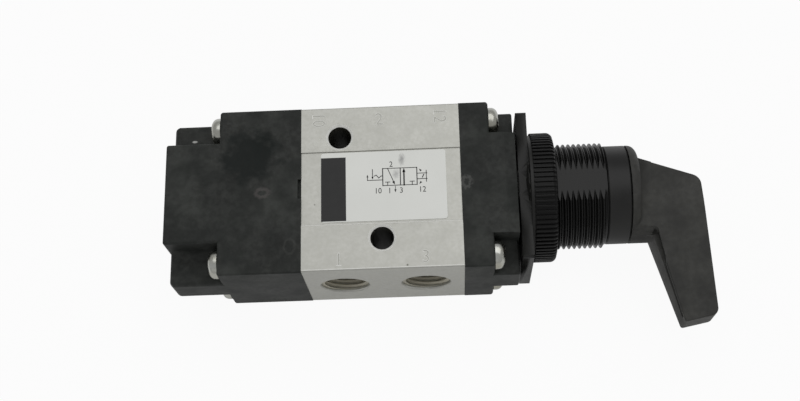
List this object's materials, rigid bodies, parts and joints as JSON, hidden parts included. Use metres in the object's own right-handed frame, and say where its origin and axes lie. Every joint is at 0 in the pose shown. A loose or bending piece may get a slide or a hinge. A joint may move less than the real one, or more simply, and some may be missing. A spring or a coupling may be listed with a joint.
{
  "type": "lever-operated spool valve",
  "caption": "Pneumatic spool valve with an extruded body, moulded end caps, threaded ports, a panel bush with a knurled ring nut and a bent twist lever",
  "frame": {"origin": "on the spool axis, in the plane of the ring nut's outer face, where the free stretch of panel thread begins", "axes": "+X along the spool axis towards the lever, +Z out of the label side, -Y out of the side with two ports"},
  "size_m": [0.1514, 0.0628, 0.037],
  "materials": {
    "body_aluminium": "satin, lightly brushed along the extrusion",
    "label_film": "satin film with dark print",
    "cap_plastic": "fine moulded grain",
    "bush_plastic": "moulded, semi-matt",
    "cover_plastic": "smooth, satin",
    "lever_plastic": "fine moulded grain",
    "nut_plastic": "knurled, satin",
    "screw_zinc": "zinc plated",
    "spindle_steel": "ground",
    "spring_steel": "drawn wire",
    "spool_aluminium": "polished",
    "bearing_brass": "turned",
    "bearing_plastic": "natural acetal",
    "seal_rubber": "greased"
  },
  "bodies": {
    "valve": {"valve_body": "body_aluminium", "body_label": "label_film", "return_cap": "cap_plastic", "return_cap_screws": "screw_zinc", "adaptor_cap": "cap_plastic", "adaptor_cap_screws": "screw_zinc", "panel_bush": "bush_plastic", "bush_cover": "cover_plastic", "bush_clip": "spring_steel", "spindle_sleeve": "bearing_brass", "thrust_washer": "bearing_plastic", "port_cages": "bearing_plastic", "end_rings": "bearing_plastic", "spool_seals": "seal_rubber", "cap_seal": "seal_rubber", "return_spring": "spring_steel"},
    "lever_unit": {"lever": "lever_plastic", "lever_grub_screw": "spindle_steel", "spindle": "spindle_steel", "spindle_clip": "spring_steel", "spindle_oring": "seal_rubber", "face_cam": "spindle_steel", "drive_pin": "spindle_steel"},
    "spool_unit": {"spool": "spool_aluminium", "spring_seat": "bearing_plastic", "cam_plunger": "bearing_plastic"},
    "washer": {"nut_washer": "bush_plastic"},
    "nut": {"ring_nut": "nut_plastic"}
  },
  "joints": [
    {"name": "lever_turn", "type": "hinge", "parent": "valve", "child": "lever_unit", "pos_m": [0, 0, 0], "axis": [-1, 0, 0], "range_deg": [0, 90], "stiffness_Nm_per_rad": 0.0304, "springref_deg": -120.03},
    {"name": "spool_slide", "type": "slide", "parent": "valve", "child": "spool_unit", "axis": [-1, 0, 0], "range_m": [0, 0.0051], "deforming": ["return_spring"]},
    {"name": "nut_travel", "type": "slide", "parent": "valve", "child": "washer", "axis": [1, 0, 0], "range_m": [0, 0.012]},
    {"name": "nut_turn", "type": "hinge", "parent": "washer", "child": "nut", "pos_m": [0, 0, 0], "axis": [1, 0, 0], "range_deg": [0, 2880]}
  ],
  "couplings": [
    {"joint": "spool_slide", "follows": "lever_turn", "m_per_rad": 0.0031831},
    {"joint": "nut_travel", "follows": "nut_turn", "m_per_rad": 0.00023873}
  ]
}
